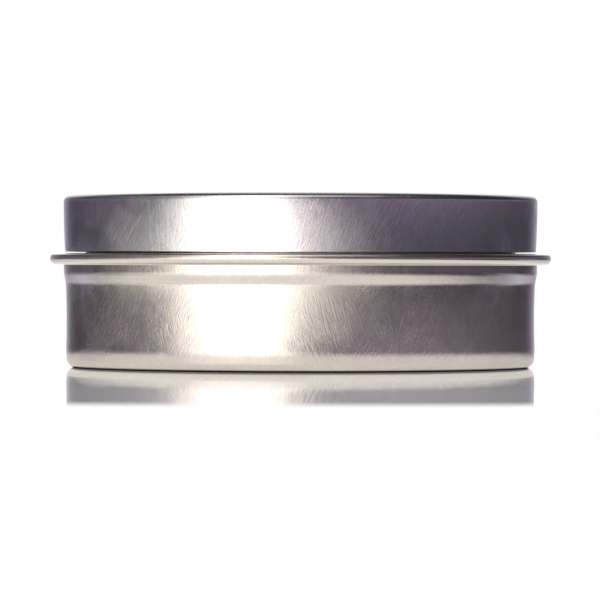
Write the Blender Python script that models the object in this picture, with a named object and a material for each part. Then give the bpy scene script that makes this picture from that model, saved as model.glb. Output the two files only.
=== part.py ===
"""A flat round tin of bare tinplate with a slip lid, in two pressed pieces: the body and the lid.

Each piece is a single sheet bent round the vertical axis. Its half section is drawn as the middle line of the
sheet, in radius and height, then thickened to the sheet's gauge and spun round. All sizes are in metres.
"""

import math

import bmesh
import bpy

# Sheet gauge and the loose fit of the lid on the neck
SHEET = 0.00025
SLIP_CLEARANCE = 0.0003
SEAT_CLEARANCE = 0.0003

# Base and wall of the body, on the outside of the metal, from the table up
WALL_FOOT_RADIUS = 0.03035
BASE_CORNER_RADIUS = 0.0012
FOOT_RING_WIDTH = 0.0023
PANEL_RISE = 0.0004
PANEL_SLOPE_WIDTH = 0.0008
WALL_HEIGHT = 0.00955
WALL_LEAN = 0.00015

# Flare, upright band and hollow bead below the neck
FLARE_HEIGHT = 0.0015
FLARE_STEP = 0.0002
BAND_HEIGHT = 0.001
BEAD_HOLLOW_HEIGHT = 0.001
BEAD_LAND_WIDTH = 0.0009
BEAD_ROOT_FILLET = 0.00015

# Rim at the top of the neck, curled outward to guide the lid
RIM_CURL_HOLLOW = 0.00075
RIM_CURL_ANGLE = math.radians(225)

# Lid, on the outside of the metal
LID_STEP = 0.0004
LID_HEIGHT = 0.00705
LID_EDGE_GAP = 0.0004
LID_CORNER_RADIUS = 0.00085
SKIRT_LEAN = 0.0002
LID_CURL_HOLLOW = 0.00005
LID_CURL_ANGLE = math.radians(225)

# Heights and radii that follow from the sizes above
half_sheet = SHEET / 2
band_radius = WALL_FOOT_RADIUS + WALL_LEAN + FLARE_STEP
bead_underside = BASE_CORNER_RADIUS + WALL_HEIGHT + FLARE_HEIGHT + BAND_HEIGHT
bead_top = bead_underside + BEAD_HOLLOW_HEIGHT + 2 * SHEET
lid_edge = bead_top + LID_EDGE_GAP
lid_radius = WALL_FOOT_RADIUS + LID_STEP
lid_curl_radius = LID_CURL_HOLLOW + SHEET
skirt_foot_radius = lid_radius - SKIRT_LEAN
rim_radius = skirt_foot_radius - 2 * lid_curl_radius - SLIP_CLEARANCE
neck_radius = rim_radius - 2 * RIM_CURL_HOLLOW - SHEET
rim_top = lid_edge + LID_HEIGHT - SHEET - SEAT_CLEARANCE

# Facets round the axis, and along each bend of the section
SEGMENTS = 64
CORNER_STEPS = 4
FILLET_STEPS = 2
NOSE_STEPS = 6
CURL_STEPS = 8

# Points closer than this are one point
WELD_DISTANCE = 0.000001

# Surface of the two pieces: linear base colour, metallic share and roughness share
BODY_COLOUR = (0.62, 0.61, 0.60, 1)
LID_COLOUR = (0.63, 0.63, 0.64, 1)
TINPLATE_METALLIC_SHARE = 1
TINPLATE_ROUGHNESS_SHARE = 0.25


def clear_scene():
    for thing in list(bpy.data.objects):
        bpy.data.objects.remove(thing, do_unlink=True)


def arc(centre, radius, start, end, steps):
    """Points along an arc in the section plane, from one angle to the other."""
    angles = [start + (end - start) * step / steps for step in range(steps + 1)]
    return [(centre[0] + radius * math.cos(angle), centre[1] + radius * math.sin(angle)) for angle in angles]


def side_normal(start, end):
    """Unit vector to the left of the way from one point to the next."""
    across, up = end[0] - start[0], end[1] - start[1]
    length = math.hypot(across, up)
    return (-up / length, across / length)


def offset_line(middle, distance):
    """The line moved sideways by a distance, with mitred corners."""
    normals = [side_normal(*pair) for pair in zip(middle, middle[1:])]
    before = [normals[0]] + normals
    after = normals + [normals[-1]]
    moved = []
    for (radius, height), one, other in zip(middle, before, after):
        mitre = distance / (1 + one[0] * other[0] + one[1] * other[1])
        moved.append((radius + (one[0] + other[0]) * mitre, height + (one[1] + other[1]) * mitre))
    return moved


def sheet_outline(middle):
    """Both faces of the sheet in one run of points that starts and ends on the axis."""
    return offset_line(middle, half_sheet) + offset_line(middle, -half_sheet)[::-1]


def body_section():
    """Middle line of the body's sheet, from the axis out along the base, up the wall and into the rim's curl."""
    right, down, left, up = 0, -math.pi / 2, math.pi, math.pi / 2
    corner_centre = WALL_FOOT_RADIUS - BASE_CORNER_RADIUS
    ring_inner = corner_centre - FOOT_RING_WIDTH
    line = [
        (0, PANEL_RISE + half_sheet),
        (ring_inner - PANEL_SLOPE_WIDTH, PANEL_RISE + half_sheet),
        (ring_inner, half_sheet),
    ]
    line += arc(
        (corner_centre, BASE_CORNER_RADIUS), BASE_CORNER_RADIUS - half_sheet, down, right, CORNER_STEPS
    )

    wall_top = BASE_CORNER_RADIUS + WALL_HEIGHT
    line.append((WALL_FOOT_RADIUS + WALL_LEAN - half_sheet, wall_top))
    line.append((band_radius - half_sheet, wall_top + FLARE_HEIGHT))

    fillet = BEAD_ROOT_FILLET + half_sheet
    nose_centre = band_radius + BEAD_ROOT_FILLET + BEAD_LAND_WIDTH
    bead_middle = (bead_underside + bead_top) / 2
    line += arc(
        (band_radius + BEAD_ROOT_FILLET, bead_underside - BEAD_ROOT_FILLET), fillet, left, up, FILLET_STEPS
    )
    line += arc((nose_centre, bead_middle), (BEAD_HOLLOW_HEIGHT + SHEET) / 2, down, up, NOSE_STEPS)
    line += arc(
        (neck_radius + BEAD_ROOT_FILLET, bead_top + BEAD_ROOT_FILLET), fillet, down, -left, FILLET_STEPS
    )

    curl = RIM_CURL_HOLLOW + half_sheet
    curl_centre = (neck_radius - half_sheet + curl, rim_top - half_sheet - curl)
    return line + arc(curl_centre, curl, left, left - RIM_CURL_ANGLE, CURL_STEPS)


def lid_section():
    """Middle line of the lid's sheet above its own lower edge, from the axis out and down into the edge's curl."""
    right, up = 0, math.pi / 2
    corner_centre = (lid_radius - LID_CORNER_RADIUS, LID_HEIGHT - LID_CORNER_RADIUS)
    line = [(0, LID_HEIGHT - half_sheet)]
    line += arc(corner_centre, LID_CORNER_RADIUS - half_sheet, up, right, CORNER_STEPS)

    curl_centre = (skirt_foot_radius - lid_curl_radius, lid_curl_radius)
    return line + arc(curl_centre, LID_CURL_HOLLOW + half_sheet, right, -LID_CURL_ANGLE, CURL_STEPS)


def tinplate(name, colour):
    material = bpy.data.materials.new(name)
    material.use_nodes = True
    shader = material.node_tree.nodes["Principled BSDF"]
    shader.inputs["Base Color"].default_value = colour
    shader.inputs["Metallic"].default_value = TINPLATE_METALLIC_SHARE
    shader.inputs["Roughness"].default_value = TINPLATE_ROUGHNESS_SHARE
    return material


def pressing(name, section, material):
    """One closed solid: the thickened section spun round the vertical axis."""
    shape = bmesh.new()
    corners = [shape.verts.new((radius, 0, height)) for radius, height in sheet_outline(section)]
    edges = [shape.edges.new(pair) for pair in zip(corners, corners[1:])]
    bmesh.ops.spin(
        shape, geom=corners + edges, cent=(0, 0, 0), axis=(0, 0, 1), angle=math.tau, steps=SEGMENTS
    )
    bmesh.ops.remove_doubles(shape, verts=shape.verts, dist=WELD_DISTANCE)
    bmesh.ops.recalc_face_normals(shape, faces=shape.faces)

    mesh = bpy.data.meshes.new(name)
    shape.to_mesh(mesh)
    shape.free()
    mesh.shade_smooth()
    mesh.set_sharp_from_angle(angle=math.radians(35))
    mesh.materials.append(material)
    piece = bpy.data.objects.new(name, mesh)
    bpy.context.scene.collection.objects.link(piece)
    return piece


def make_body():
    return pressing("tin_body", body_section(), tinplate("body_tinplate", BODY_COLOUR))


def make_lid():
    """The lid's origin is on the axis it lifts along, level with its lower edge."""
    lid = pressing("lid", lid_section(), tinplate("lid_tinplate", LID_COLOUR))
    lid.location = (0, 0, lid_edge)
    return lid


def main():
    clear_scene()
    make_body()
    make_lid()


main()
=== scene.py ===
"""The looks of a flat round tin of bare tinplate with a slip lid: two bent sheets, their metal, and a studio.

Lengths are in metres. Angles are in radians, apart from the studio's, which are in degrees. A point of a half
section is a complex number, the radius plus 1j times the height, so that turning, adding and measuring it is
plain arithmetic.
"""

import cmath
import math

import bmesh
import bpy
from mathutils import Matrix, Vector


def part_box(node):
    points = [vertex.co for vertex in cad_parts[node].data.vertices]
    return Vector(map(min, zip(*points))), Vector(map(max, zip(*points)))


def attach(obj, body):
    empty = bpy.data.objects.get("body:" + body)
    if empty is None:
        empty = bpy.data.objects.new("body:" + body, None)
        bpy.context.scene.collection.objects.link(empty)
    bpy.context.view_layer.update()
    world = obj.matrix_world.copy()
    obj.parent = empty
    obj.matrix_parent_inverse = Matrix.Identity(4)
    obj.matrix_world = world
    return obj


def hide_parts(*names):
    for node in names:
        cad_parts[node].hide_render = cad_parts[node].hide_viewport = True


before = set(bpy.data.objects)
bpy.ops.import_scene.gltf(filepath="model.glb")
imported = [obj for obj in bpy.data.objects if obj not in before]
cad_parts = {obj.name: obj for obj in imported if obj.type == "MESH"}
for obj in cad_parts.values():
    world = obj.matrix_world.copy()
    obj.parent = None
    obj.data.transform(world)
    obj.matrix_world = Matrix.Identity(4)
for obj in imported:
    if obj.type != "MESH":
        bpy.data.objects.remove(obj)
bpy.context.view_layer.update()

body_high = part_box("tin_body")[1]
lid_low, lid_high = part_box("lid")

# Sheet gauge, and how far the bead stays inside the solids' box
SHEET = 0.00025
BOX_MARGIN = 0.00001

# Base and wall of the body, on the outside of the metal, from the table up
WALL_FOOT_RADIUS = 0.03035
BASE_CORNER_RADIUS = 0.0012
FOOT_RING_WIDTH = 0.0023
PANEL_RISE = 0.0004
PANEL_SLOPE_WIDTH = 0.0008
PANEL_TOP_BEND = 0.0004
PANEL_FOOT_BEND = 0.0003
WALL_TOP = 0.01087
WALL_LEAN = 0.00011
WAIST_HEIGHT = 0.0055
RIDGE_HEIGHT = 0.00222
RIDGE_SWELL = 0.00007
RIDGE_BEND = 0.009
FOOT_TUCK = 0.00005

# Flare, upright band and hollow bead below the neck
FLARE_HEIGHT = 0.00126
FLARE_STEP = 0.00024
FLARE_FOOT_BEND = 0.0035
FLARE_TOP_BEND = 0.004
BAND_HEIGHT = 0.0012
BAND_LEAN = 0.00004
BEAD_ROOT_FILLET = 0.0001
BEAD_NOSE_RADIUS = 0.000745
BEAD_NOSE_TOP = math.radians(38)
BEAD_LIP_RADIUS = 0.00022
LAND_SLOPE = math.radians(4.5)
LAND_SLOPE_INNER = 0.0304

# Neck, and its rim, curled outward to guide the lid
NECK_RADIUS = 0.0279
RIM_CURL_HOLLOW = 0.00075
RIM_CURL_ANGLE = math.radians(225)

# Lid, on the outside of the metal; the skirt's edge is hemmed, and hangs lowest at the front and back
LID_CORNER_RADIUS = 0.00085
SKIRT_LEAN = 0.00019
HEM_HEIGHT = 0.0009
HEM_BEND = 0.00012
SKIRT_DROP = 0.00016
SKIRT_SAG = 0.0002
SAG_HEIGHT = 0.003

# Heights and radii that follow from the sizes above and the frame
half_sheet = SHEET / 2
flare_radius = WALL_FOOT_RADIUS + WALL_LEAN + FLARE_STEP
band_radius = flare_radius + BAND_LEAN
bead_underside = WALL_TOP + FLARE_HEIGHT + BAND_HEIGHT
bead_radius = body_high.x - BOX_MARGIN
rim_top = body_high.z
lid_edge, lid_top = lid_low.z, lid_high.z
lid_radius = lid_high.x
skirt_corner = lid_top - LID_CORNER_RADIUS

# Facets: round the axis, along a bend, and between rows of a wall
SEGMENTS = 192
BEND_STEP = math.radians(9)
FEWEST_BEND_STEPS = 4
ROW_HEIGHT = 0.0007
SHARP_ANGLE = math.radians(50)

# Points closer than this are one point
WELD_DISTANCE = 0.000001

# Camera, level with the bead; a pixel's size is that on the tin's axis, and the eye row is the horizon's
SENSOR_MM = 36
FRAME_PIXELS = 600
PIXEL_SIZE = 0.00013
EYE_ROW = 267.5
CAMERA_DISTANCE = 0.55
CAMERA_ASIDE = -0.00006
CAMERA_HEIGHT = 0.01296
CAMERA_ROLL = math.radians(0.1)
CLIP_START = 0.01
CLIP_END = 10

# Metal: base colours, gloss, depth of the relief, and the sideways run of its streaks for each unit of rise
BODY_COLOUR = (0.64, 0.61, 0.585)
LID_COLOUR = (0.61, 0.60, 0.645)
ROUGHNESS = 0.19
ANISOTROPY = 0.85
RELIEF_DEPTH = 0.000026
STREAK_LEAN = 0.42
BACK_LEAN = -0.3
SCRATCH_LEAN = 0.8

# Noise behind each pattern: features in a metre, octaves of detail and, where given, their roughness
PATCHES = (130, 1)
MOTTLE = (420, 3)
STREAKS = (5600, 3, 0.7)
BACK_STREAKS = (5200, 3, 0.7)
ROLLED_GRAIN = (2600, 2, 0.6)
GRIT = (5000, 1)
WAVES = (260, 1)
SCRATCHES = (1900, 1)
SPECKS = (3600, 0)
SPECK_ZONES = (150, 1)

# Level that noise varies about, and the share of its contrast that the rolled grain keeps
NOISE_MIDDLE = 0.5
ROLLED_CONTRAST = 0.45

# Patterns that are drawn out have fewer features that way, by these shares
STREAK_SQUEEZE = (1, 1, 0.13)
SCRATCH_SQUEEZE = (1, 1, 0.12)
ROLLING_SQUEEZE = (0.04, 1, 1)
WAVE_SQUEEZE = (1, 1, 0.6)

# Way that the gloss of flats runs, across their rolled grain
ACROSS_ROLLING = (0, 1, 0)

# Levels of noise between which a pattern fades in
BACK_STREAK_LEVELS = (0.45, 0.65)
BLUSH_LEVELS = (0.35, 0.65)
SCRATCH_LEVELS = (0.66, 0.74)
SPECK_LEVELS = (0.81, 0.87)
SPECK_ZONE_LEVELS = (0.5, 0.64)

# Upright part of the surface's normal, from 0 on a wall to 1 on a flat, where bends and flats fade in
BEND_TILTS = (0.1, 0.3)
FLAT_TILTS = (0.6, 0.95)

# What patterns and bends do to the metal's colour, then to its roughness, then to its relief
GRAIN_SHADE = 0.4
SCRATCH_SHADE = 0.04
SPECK_SHADE = -0.2
MOTTLE_DARK, MOTTLE_LIGHT = 0.93, 1.05
BLUSH_PINK = (1.0, 0.965, 1.0, 1)
BLUSH_GREEN = (0.985, 1.0, 0.975, 1)
GRAIN_ROUGHNESS = 0.1
MOTTLE_ROUGHNESS = 0.08
BEND_ROUGHNESS = 0.05
GRIT_RELIEF = 0.12
SCRATCH_RELIEF = -0.1
SPECK_RELIEF = 0.2
WAVE_RELIEF = 0.6
BEND_FLATTENING = 0.75

# Windows of light in the studio: (from, to, softness) of bearing, the same of elevation, and a level, where
# 1 is white. Bearing is 0 at the front and grows to the right. The soft box's is counted from its middle, and
# the last four windows are the same on both sides.
BOX_BEARING = -32
SOFT_BOX = ((-28, 29, 7), (-70, 66, 6), 2.2)
SPILL = ((-101, 22, 24), (-100, -4, 4), 0.85)
RIGHT_SPILL = ((-10, 18, 14), (-4.2, -0.6, 1.2), 0.7)
LEFT_GLOW = ((-125, -60, 15), (20, 50, 8), 0.12)
OVERHEAD = ((-61, 45, 15), (40, 72, 6), 0.6)
BACKDROP = ((161, 200, 9), (-95, 34, 12), 1)
FAR_TABLE = ((118, 200, 14), (-95, -4.8, 1.2), 0.75)
REAR_CEILING = ((146, 200, 8), (19, 80, 4), 0.55)
WALL_GLOW = ((25, 150, 15), (3, 14, 3), 0.1)

# Fades in the studio: from one angle to another, and the levels there
BOX_NARROWING = (-1, 7, 1, 1.2)
ROOM = (50, 140, 0.18, 0.07)
CEILING = (8, 24, 1, 0.25)
PAST_TABLE = (-4.5, -1, 0.4, 1)

# Tints of that light, the plain level that matt surfaces get instead, and the white that the camera sees
LIGHT_TINT = (1.04, 1, 0.88)
ROOM_TINT = (1.15, 0.97, 1.25)
BACKDROP_TINT = (1, 0.97, 1.14)
AMBIENT = 0.35
WHITE = (1, 1, 1, 1)

# Table: its radius, the radii over which it fades out and over which the painted shadow under the tin ends,
# and its paint and clear coat. The camera sees white paint under a full coat, and other rays see warmer paint
# under a thin one.
FLOOR_RADIUS = 0.4
FLOOR_SEGMENTS = 96
TABLE_EDGE = (0.14, 0.162)
SHADOW_EDGE = (0.02965, 0.03)
FLOOR_WHITE = (0.93, 0.93, 0.93, 1)
FLOOR_WARM = (0.9, 0.868, 0.8, 1)
FULL_COAT = 1
THIN_COAT = 0.4
COAT_ROUGHNESS = 0.02

# Painted pool of light on the table, a glow by emission on top of the lamp's light: its centre, the distances
# over which metal sees it fade, and its glow
POOL_CENTRE = (-0.005, -0.02, 0)
POOL_FADE = (0.045, 0.1)
PAINTED_POOL_GLOW = 0.64

# Lamp over the pool, in metres and watts
LAMP_HEIGHT = 0.3
LAMP_SIZE = 0.2
LAMP_POWER = 0.3


def arc(centre, radius, start, end):
    """Points along an arc from one angle to the other, a few degrees apart."""
    steps = max(FEWEST_BEND_STEPS, round(abs(end - start) / BEND_STEP))
    return [centre + cmath.rect(radius, start + (end - start) * step / steps) for step in range(steps + 1)]


def bend(before, corner, after, radius):
    """The arc that rounds the corner between two straight runs."""
    back = (before - corner) / abs(before - corner)
    onward = (after - corner) / abs(after - corner)
    half_opening = abs(cmath.phase(onward / back)) / 2
    centre = corner + (back + onward) / abs(back + onward) * radius / math.sin(half_opening)
    start = cmath.phase(corner + back * radius / math.tan(half_opening) - centre)
    turn = math.copysign(math.pi - 2 * half_opening, (-onward / back).imag)
    return arc(centre, radius, start, start + turn)


def rounded(corners):
    """A line through (point, bend radius) corners; the two ends keep their points."""
    points = [corners[0][0]]
    for (before, _), (corner, radius), (after, _) in zip(corners, corners[1:], corners[2:]):
        points += bend(before, corner, after, radius)
    return points + [corners[-1][0]]


def offset_line(middle, distance):
    """The line moved to its left by a distance, with mitred corners."""
    sides = [1j * (end - start) / abs(end - start) for start, end in zip(middle, middle[1:])]
    moved = []
    for point, one, other in zip(middle, sides[:1] + sides, sides + sides[-1:]):
        across = (one.conjugate() * other).real
        moved.append(point + (one + other) * distance / (1 + across))
    return moved


def sheet_outline(middle):
    """Both faces of the sheet in one run of points that starts and ends on the axis."""
    return offset_line(middle, half_sheet) + offset_line(middle, -half_sheet)[::-1]


def evenly(start, end, spacing):
    """Values from one end to the other, about a spacing apart."""
    steps = round(abs(end - start) / spacing)
    return [start + (end - start) * step / steps for step in range(steps + 1)]


def wall_radius(height):
    """Outside radius of the wall, which leans out towards the top, has a waist and swells over the foot."""
    if height > WAIST_HEIGHT:
        share = (height - WAIST_HEIGHT) / (WALL_TOP - WAIST_HEIGHT)
        return WALL_FOOT_RADIUS + WALL_LEAN * share ** 3
    share = (WAIST_HEIGHT - height) / (WAIST_HEIGHT - RIDGE_HEIGHT)
    return WALL_FOOT_RADIUS + RIDGE_SWELL * share ** 2


def wall_points():
    """Middle line of the wall from the ridge over the foot up to the flare."""
    heights = evenly(RIDGE_HEIGHT, WALL_TOP, ROW_HEIGHT)
    return [complex(wall_radius(height) - half_sheet, height) for height in heights]


def foot_section():
    """Middle line of the base, from the axis over the recessed panel, the standing ring and the corner."""
    ring_inner = WALL_FOOT_RADIUS - BASE_CORNER_RADIUS - FOOT_RING_WIDTH
    ridge, above = wall_points()[:2]
    return rounded([
        (complex(0, PANEL_RISE + half_sheet), 0),
        (complex(ring_inner - PANEL_SLOPE_WIDTH, PANEL_RISE + half_sheet), PANEL_TOP_BEND),
        (complex(ring_inner, half_sheet), PANEL_FOOT_BEND),
        (complex(WALL_FOOT_RADIUS - FOOT_TUCK - half_sheet, half_sheet), BASE_CORNER_RADIUS - half_sheet),
        (ridge, RIDGE_BEND),
        (above, 0),
    ])


def bead_section():
    """Middle line of the flare, the band and the bead, up to the land that slopes in to the neck."""
    wall_end, flare_foot = wall_points()[-2:]
    shoulder = rounded([
        (wall_end, 0),
        (flare_foot, FLARE_FOOT_BEND),
        (complex(flare_radius - half_sheet, WALL_TOP + FLARE_HEIGHT), FLARE_TOP_BEND),
        (complex(band_radius - half_sheet, bead_underside + half_sheet), BEAD_ROOT_FILLET + half_sheet),
        (complex(bead_radius, bead_underside + half_sheet), 0),
    ])
    nose_centre = complex(bead_radius, bead_underside) + BEAD_NOSE_RADIUS * (1j - 1)
    nose = arc(nose_centre, BEAD_NOSE_RADIUS - half_sheet, -math.pi / 2, BEAD_NOSE_TOP)
    lip_centre = nose_centre + cmath.rect(BEAD_NOSE_RADIUS - BEAD_LIP_RADIUS, BEAD_NOSE_TOP)
    lip = arc(lip_centre, BEAD_LIP_RADIUS - half_sheet, BEAD_NOSE_TOP, math.pi / 2 - LAND_SLOPE)
    land_run = lip[-1].real - LAND_SLOPE_INNER
    land_top = complex(LAND_SLOPE_INNER, lip[-1].imag + land_run * math.tan(LAND_SLOPE))
    return shoulder[1:-1] + nose + lip[1:] + [land_top]


def body_section():
    """Middle line of the body's sheet, from the axis along the base, up the wall and into the rim's curl."""
    bead = bead_section()
    neck_middle = NECK_RADIUS - half_sheet
    neck = rounded([
        (bead[-1], 0),
        (complex(neck_middle, bead[-1].imag), BEAD_ROOT_FILLET + half_sheet),
        (complex(neck_middle, rim_top), 0),
    ])
    curl = RIM_CURL_HOLLOW + half_sheet
    curl_centre = complex(neck_middle + curl, rim_top - half_sheet - curl)
    rim = arc(curl_centre, curl, math.pi, math.pi - RIM_CURL_ANGLE)
    return foot_section()[:-1] + wall_points()[1:-1] + bead + neck[1:-1] + rim


def skirt_radius(height):
    """Outside radius of the lid's skirt, which draws in more and more towards its edge."""
    share = (skirt_corner - height) / (skirt_corner - lid_edge)
    return lid_radius - SKIRT_LEAN * share ** 2


def lid_outline():
    """Both faces of the lid's sheet, whose edge is folded in and pressed flat into a hem of two sheets."""
    heights = evenly(skirt_corner, lid_edge, ROW_HEIGHT)
    skirt = [complex(skirt_radius(height) - half_sheet, height) for height in heights]
    corner_centre = complex(lid_radius - LID_CORNER_RADIUS, skirt_corner)
    corner = arc(corner_centre, LID_CORNER_RADIUS - half_sheet, math.pi / 2, 0)
    middle = [complex(0, lid_top - half_sheet)] + corner + skirt[1:]

    hem_top = lid_edge + HEM_HEIGHT
    outer = offset_line(middle, half_sheet)
    inner = [point for point in offset_line(middle, -half_sheet) if point.imag > hem_top]
    leaf_top = complex(skirt_radius(hem_top) - 2 * SHEET, hem_top)
    hem = rounded([(outer[-2], 0), (outer[-1], HEM_BEND), (outer[-1] - 2 * SHEET, HEM_BEND), (leaf_top, 0)])
    return outer[:-1] + hem[1:] + [leaf_top + SHEET] + inner[::-1]


def hang_skirt(mesh):
    """Lowers the skirt towards its edge, a little at the sides and more at the front and back."""
    for corner in mesh.vertices:
        share = (lid_edge + SAG_HEIGHT - corner.co.z) / SAG_HEIGHT
        if share > 0:
            across, along = corner.co.x, corner.co.y
            facing = along ** 2 / (across ** 2 + along ** 2)
            corner.co.z -= share ** 2 * (SKIRT_DROP + SKIRT_SAG * facing)


def turned(name, outline, material):
    """One closed solid: the outline of the half section spun round the vertical axis."""
    shape = bmesh.new()
    corners = [shape.verts.new((point.real, 0, point.imag)) for point in outline]
    edges = [shape.edges.new(pair) for pair in zip(corners, corners[1:])]
    bmesh.ops.spin(
        shape, geom=corners + edges, cent=(0, 0, 0), axis=(0, 0, 1), angle=math.tau, steps=SEGMENTS
    )
    bmesh.ops.remove_doubles(shape, verts=shape.verts, dist=WELD_DISTANCE)
    bmesh.ops.recalc_face_normals(shape, faces=shape.faces)

    mesh = bpy.data.meshes.new(name)
    shape.to_mesh(mesh)
    shape.free()
    mesh.shade_smooth()
    mesh.set_sharp_from_angle(angle=SHARP_ANGLE)
    mesh.materials.append(material)
    piece = bpy.data.objects.new(name, mesh)
    bpy.context.scene.collection.objects.link(piece)
    weighted = piece.modifiers.new("flat faces lead the shading", "WEIGHTED_NORMAL")
    weighted.keep_sharp = True
    return piece


def put(tree, socket, value):
    """Links another node's output to a socket, or sets the socket to a plain value."""
    if isinstance(value, bpy.types.NodeSocket):
        tree.links.new(value, socket)
    else:
        socket.default_value = value


def add_node(tree, kind, inputs=None, **settings):
    """A new node with its settings, and with its inputs, named or numbered, filled."""
    node = tree.nodes.new(kind)
    for name, value in settings.items():
        setattr(node, name, value)
    for name, value in (inputs or {}).items():
        put(tree, node.inputs[name], value)
    return node


def maths(tree, operation, *values):
    """The result of a sum on plain numbers."""
    return add_node(tree, "ShaderNodeMath", dict(enumerate(values)), operation=operation).outputs[0]


def vector_maths(tree, operation, *values):
    """The result of a sum on vectors or colours."""
    return add_node(tree, "ShaderNodeVectorMath", dict(enumerate(values)), operation=operation).outputs[0]


def brightened(tree, colour, level):
    """The colour times a level."""
    node = add_node(tree, "ShaderNodeVectorMath", {0: colour, "Scale": level}, operation="SCALE")
    return node.outputs[0]


def weighted_sum(tree, base, *terms):
    """A plain value plus (value, weight) pairs."""
    result = base
    for value, weight in terms:
        result = maths(tree, "MULTIPLY_ADD", value, weight, result)
    return result


def smooth_step(tree, value, low, high, at_low=0, at_high=1):
    """A value that runs smoothly from one level to another as the input goes from low to high."""
    node = add_node(tree, "ShaderNodeMapRange", {0: value, 1: low, 2: high, 3: at_low, 4: at_high})
    node.interpolation_type = "SMOOTHSTEP"
    return node.outputs[0]


def angle_step(tree, angle, low, high, at_low=0, at_high=1):
    """A smooth step of an angle, between two angles in degrees."""
    return smooth_step(tree, angle, math.radians(low), math.radians(high), at_low, at_high)


def mixed(tree, share, one, other):
    """A number that goes from one to the other as the share goes from 0 to 1."""
    return add_node(tree, "ShaderNodeMix", {0: share, 2: one, 3: other}, data_type="FLOAT").outputs[0]


def mixed_vector(tree, share, one, other):
    """A vector that goes from one to the other as the share goes from 0 to 1."""
    return add_node(tree, "ShaderNodeMix", {0: share, 4: one, 5: other}, data_type="VECTOR").outputs[1]


def blended(tree, share, one, other):
    """A colour that goes from one to the other as the share goes from 0 to 1."""
    return add_node(tree, "ShaderNodeMix", {0: share, 6: one, 7: other}, data_type="RGBA").outputs[2]


def noise(tree, place, scale, detail, roughness=0.5):
    """Smooth noise, mostly between 0.2 and 0.8, at a place."""
    inputs = {"Vector": place, "Scale": scale, "Detail": detail, "Roughness": roughness}
    return add_node(tree, "ShaderNodeTexNoise", inputs).outputs[0]


def ray_kinds(tree):
    """Whether a ray comes straight from the camera, and whether it comes from gloss or glass."""
    rays = add_node(tree, "ShaderNodeLightPath").outputs
    mirrored = maths(tree, "MAXIMUM", rays["Is Glossy Ray"], rays["Is Transmission Ray"])
    return rays["Is Camera Ray"], mirrored


def leaning(tree, place, lean, squeeze):
    """The place turned round the axis in step with its height, so that noise there draws leaning streaks."""
    height = add_node(tree, "ShaderNodeSeparateXYZ", {0: place}).outputs[2]
    angle = maths(tree, "MULTIPLY", height, -lean / WALL_FOOT_RADIUS)
    inputs = {"Vector": place, "Angle": angle}
    node = add_node(tree, "ShaderNodeVectorRotate", inputs, rotation_type="Z_AXIS")
    return vector_maths(tree, "MULTIPLY", node.outputs[0], squeeze)


def metal_grain(tree, place, flat, patches):
    """Fine streaks that lean one way or the other on walls, and straight rolled grain on flats."""
    streaks = noise(tree, leaning(tree, place, STREAK_LEAN, STREAK_SQUEEZE), *STREAKS)
    back_streaks = noise(tree, leaning(tree, place, BACK_LEAN, STREAK_SQUEEZE), *BACK_STREAKS)
    on_walls = mixed(tree, smooth_step(tree, patches, *BACK_STREAK_LEVELS), streaks, back_streaks)
    rolled = noise(tree, vector_maths(tree, "MULTIPLY", place, ROLLING_SQUEEZE), *ROLLED_GRAIN)
    on_flats = mixed(tree, ROLLED_CONTRAST, NOISE_MIDDLE, rolled)
    return mixed(tree, flat, on_walls, on_flats)


def metal_marks(tree, place):
    """The few scratches, and the specks, which come in zones."""
    scratch_noise = noise(tree, leaning(tree, place, SCRATCH_LEAN, SCRATCH_SQUEEZE), *SCRATCHES)
    scratches = smooth_step(tree, scratch_noise, *SCRATCH_LEVELS)
    specks = smooth_step(tree, noise(tree, place, *SPECKS), *SPECK_LEVELS)
    zones = smooth_step(tree, noise(tree, place, *SPECK_ZONES), *SPECK_ZONE_LEVELS)
    return scratches, maths(tree, "MULTIPLY", specks, zones)


def metal_colour(tree, colour, mottle, patches, shade):
    """The base colour, mottled, with a blush that drifts between pink and green, at a shade."""
    dark, light = [(*[level * part for part in colour], 1) for level in (MOTTLE_DARK, MOTTLE_LIGHT)]
    blush = blended(tree, smooth_step(tree, patches, *BLUSH_LEVELS), BLUSH_PINK, BLUSH_GREEN)
    tinted = vector_maths(tree, "MULTIPLY", blended(tree, mottle, dark, light), blush)
    return brightened(tree, tinted, shade)


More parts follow.
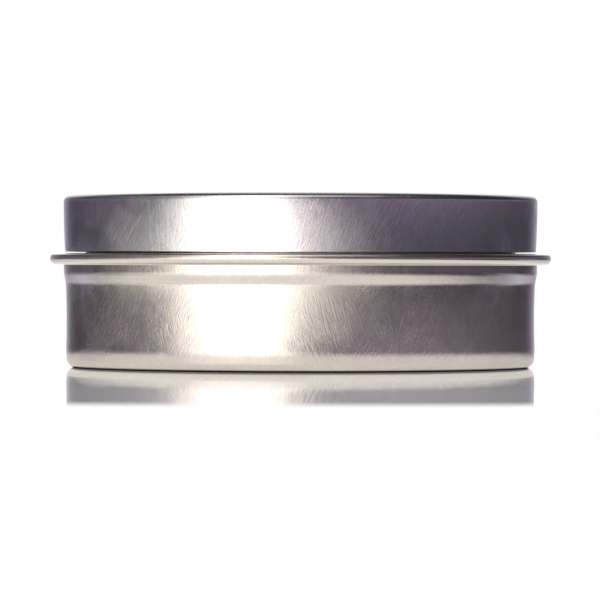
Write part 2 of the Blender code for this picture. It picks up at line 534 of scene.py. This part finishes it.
def tinplate(name, colour):
    """Bare tinplate: rolled grain on its flats, leaning drawing streaks on its walls, and wear on both."""
    material = bpy.data.materials.new(name)
    material.use_nodes = True
    tree = material.node_tree
    shader = tree.nodes["Principled BSDF"]
    where = add_node(tree, "ShaderNodeTexCoord")
    place = where.outputs["Object"]
    facing = add_node(tree, "ShaderNodeSeparateXYZ", {0: where.outputs["Normal"]}).outputs[2]
    tilt = maths(tree, "ABSOLUTE", facing)
    flat = smooth_step(tree, tilt, *FLAT_TILTS)
    bent = maths(tree, "MULTIPLY", smooth_step(tree, tilt, *BEND_TILTS), maths(tree, "SUBTRACT", 1, flat))

    patches = noise(tree, place, *PATCHES)
    mottle = noise(tree, place, *MOTTLE)
    grain = metal_grain(tree, place, flat, patches)
    scratches, specks = metal_marks(tree, place)
    grit = noise(tree, place, *GRIT)
    waves = noise(tree, vector_maths(tree, "MULTIPLY", place, WAVE_SQUEEZE), *WAVES)

    shade = weighted_sum(
        tree, 1 - GRAIN_SHADE * NOISE_MIDDLE,
        (grain, GRAIN_SHADE), (scratches, SCRATCH_SHADE), (specks, SPECK_SHADE),
    )
    put(tree, shader.inputs["Base Color"], metal_colour(tree, colour, mottle, patches, shade))

    roughness = weighted_sum(
        tree, ROUGHNESS - (GRAIN_ROUGHNESS + MOTTLE_ROUGHNESS) * NOISE_MIDDLE,
        (grain, GRAIN_ROUGHNESS), (mottle, MOTTLE_ROUGHNESS), (bent, BEND_ROUGHNESS),
    )
    put(tree, shader.inputs["Roughness"], roughness)
    shader.inputs["Metallic"].default_value = 1
    shader.inputs["Anisotropic"].default_value = ANISOTROPY
    round_axis = add_node(tree, "ShaderNodeTangent", direction_type="RADIAL", axis="Z").outputs[0]
    put(tree, shader.inputs["Tangent"], mixed_vector(tree, flat, round_axis, ACROSS_ROLLING))

    height = weighted_sum(
        tree, grain,
        (grit, GRIT_RELIEF), (scratches, SCRATCH_RELIEF), (specks, SPECK_RELIEF), (waves, WAVE_RELIEF),
    )
    strength = weighted_sum(tree, 1, (bent, -BEND_FLATTENING))
    inputs = {"Strength": strength, "Distance": RELIEF_DEPTH, "Height": height}
    put(tree, shader.inputs["Normal"], add_node(tree, "ShaderNodeBump", inputs).outputs[0])
    return material


def make_body():
    piece = turned("body_pressing", sheet_outline(body_section()), tinplate("body_tinplate", BODY_COLOUR))
    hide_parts("tin_body")
    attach(piece, "body")


def make_lid():
    piece = turned("lid_pressing", lid_outline(), tinplate("lid_tinplate", LID_COLOUR))
    hang_skirt(piece.data)
    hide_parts("lid")
    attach(piece, "lid")


def make_camera():
    """The photograph's view: nearly level, and pitched so that the horizon falls on the eye row."""
    data = bpy.data.cameras.new("camera")
    data.lens = SENSOR_MM * CAMERA_DISTANCE / (FRAME_PIXELS * PIXEL_SIZE)
    data.sensor_width = SENSOR_MM
    data.clip_start = CLIP_START
    data.clip_end = CLIP_END
    camera = bpy.data.objects.new("camera", data)
    camera.location = (CAMERA_ASIDE, -CAMERA_DISTANCE, CAMERA_HEIGHT)
    pitch = math.atan((FRAME_PIXELS / 2 - EYE_ROW) * PIXEL_SIZE / CAMERA_DISTANCE)
    camera.rotation_euler = (math.pi / 2 - pitch, -CAMERA_ROLL, 0)
    bpy.context.scene.collection.objects.link(camera)
    bpy.context.scene.camera = camera


def between(tree, angle, low, high, soft):
    """One inside a range of degrees, falling softly to zero at both of its ends."""
    start = angle_step(tree, angle, low - soft, low + soft)
    end = angle_step(tree, angle, high - soft, high + soft, 1, 0)
    return maths(tree, "MULTIPLY", start, end)


def window(tree, bearing, rising, patch):
    """The light of one window of the studio: its level inside its ranges of bearing and of elevation."""
    sideways, upward, level = patch
    inside = maths(tree, "MULTIPLY", between(tree, bearing, *sideways), between(tree, rising, *upward))
    return maths(tree, "MULTIPLY", inside, level)


def front_lights(tree, bearing, rising):
    """The soft box, narrower above the horizon, and the windows of light round it."""
    from_middle = maths(tree, "SUBTRACT", bearing, math.radians(BOX_BEARING))
    narrowing = angle_step(tree, rising, *BOX_NARROWING)
    box = window(tree, maths(tree, "MULTIPLY", from_middle, narrowing), rising, SOFT_BOX)
    others = [window(tree, bearing, rising, patch) for patch in (SPILL, RIGHT_SPILL, LEFT_GLOW, OVERHEAD)]
    return weighted_sum(tree, box, *[(light, 1) for light in others])


def room_level(tree, aside, rising):
    """The dim room: darker to the back, overhead and below the horizon, with a faint glow on its walls."""
    room = angle_step(tree, aside, *ROOM)
    room = maths(tree, "MULTIPLY", room, angle_step(tree, rising, *CEILING))
    room = maths(tree, "MULTIPLY", room, angle_step(tree, rising, *PAST_TABLE))
    return maths(tree, "ADD", room, window(tree, aside, rising, WALL_GLOW))


def studio(tree):
    """What metal sees: a dim room, a tall soft box at the front left and a white backdrop behind the tin."""
    way = add_node(tree, "ShaderNodeTexCoord").outputs["Generated"]
    across, along, up = add_node(tree, "ShaderNodeSeparateXYZ", {0: way}).outputs
    bearing = maths(tree, "ARCTAN2", across, maths(tree, "MULTIPLY", along, -1))
    rising = maths(tree, "ARCSINE", up)
    aside = maths(tree, "ABSOLUTE", bearing)

    lit = brightened(tree, LIGHT_TINT, front_lights(tree, bearing, rising))
    dim = brightened(tree, ROOM_TINT, room_level(tree, aside, rising))
    backdrop = window(tree, aside, rising, BACKDROP)
    far_table = window(tree, aside, rising, FAR_TABLE)
    behind = brightened(tree, BACKDROP_TINT, maths(tree, "MAXIMUM", backdrop, far_table))
    rear_ceiling = brightened(tree, WHITE[:3], window(tree, aside, rising, REAR_CEILING))
    indoors = vector_maths(tree, "ADD", lit, dim)
    return vector_maths(tree, "ADD", indoors, vector_maths(tree, "ADD", behind, rear_ceiling))


def make_world():
    """White for the camera, the studio for metal and glass, and a plain level for everything else."""
    world = bpy.data.worlds.new("studio")
    world.use_nodes = True
    tree = world.node_tree
    seen, mirrored = ray_kinds(tree)
    plain = (AMBIENT, AMBIENT, AMBIENT, 1)
    light = blended(tree, mirrored, plain, studio(tree))
    light = blended(tree, seen, light, WHITE)
    put(tree, tree.nodes["Background"].inputs["Color"], light)
    bpy.context.scene.world = world


def pale_table():
    """A white coated top that glows by emission, which metal sees as a painted pool of light, with a painted
    shadow where the tin stands.

    The camera sees it out to the table's edge, where the white backdrop takes over. Metal and glass see only
    the pool, warmer and with less shine, and past it the studio.
    """
    material = bpy.data.materials.new("pale_table")
    material.use_nodes = True
    tree = material.node_tree
    paint = tree.nodes["Principled BSDF"]
    place = add_node(tree, "ShaderNodeTexCoord").outputs["Object"]
    ends = {0: place, 1: POOL_CENTRE}
    from_pool = add_node(tree, "ShaderNodeVectorMath", ends, operation="DISTANCE").outputs["Value"]
    from_axis = add_node(tree, "ShaderNodeVectorMath", {0: place}, operation="LENGTH").outputs["Value"]
    # Painted shadow: 0 under the tin, rising to 1 past its foot, so that the table's paint and glow turn
    # black there
    outside_painted_shadow = smooth_step(tree, from_axis, *SHADOW_EDGE)
    seen, mirrored = ray_kinds(tree)
    # Painted light: the table glows by emission, evenly white for the camera and a painted pool of light for
    # metal and glass
    painted_glow = maths(tree, "MULTIPLY", maths(tree, "MAXIMUM", seen, mirrored), outside_painted_shadow)

    colour = blended(tree, seen, FLOOR_WARM, FLOOR_WHITE)
    # Painted shadow: the paint is black under the tin
    put(tree, paint.inputs["Base Color"], brightened(tree, colour, outside_painted_shadow))
    paint.inputs["Roughness"].default_value = 1
    paint.inputs["Specular IOR Level"].default_value = 0
    put(tree, paint.inputs["Coat Weight"], mixed(tree, seen, THIN_COAT, FULL_COAT))
    paint.inputs["Coat Roughness"].default_value = COAT_ROUGHNESS
    put(tree, paint.inputs["Emission Color"], colour)
    # Painted light: the strength of the table's glow
    put(tree, paint.inputs["Emission Strength"], maths(tree, "MULTIPLY", painted_glow, PAINTED_POOL_GLOW))

    # Past the painted pool, metal and glass see through the table into the studio
    cleared_past_pool = mixed(tree, seen, smooth_step(tree, from_pool, *POOL_FADE), 0)
    gone = maths(tree, "MAXIMUM", cleared_past_pool, smooth_step(tree, from_axis, *TABLE_EDGE))
    clear = add_node(tree, "ShaderNodeBsdfTransparent")
    surface = add_node(tree, "ShaderNodeMixShader", {0: gone, 1: paint.outputs[0], 2: clear.outputs[0]})
    put(tree, tree.nodes["Material Output"].inputs["Surface"], surface.outputs[0])
    return material


def make_floor():
    bpy.ops.mesh.primitive_circle_add(vertices=FLOOR_SEGMENTS, radius=FLOOR_RADIUS, fill_type="TRIFAN")
    floor = bpy.context.object
    floor.name = "floor"
    floor.data.materials.append(pale_table())


def make_lamp():
    """A soft lamp over the pool, which lights the table and doesn't show in the metal."""
    data = bpy.data.lights.new("overhead", "AREA")
    data.shape = "DISK"
    data.size = LAMP_SIZE
    data.energy = LAMP_POWER
    lamp = bpy.data.objects.new("overhead", data)
    lamp.location = (POOL_CENTRE[0], POOL_CENTRE[1], LAMP_HEIGHT)
    lamp.visible_glossy = False
    bpy.context.scene.collection.objects.link(lamp)


make_body()
make_lid()
make_floor()
make_lamp()
make_world()
make_camera()
bpy.context.scene.view_settings.view_transform = "Standard"
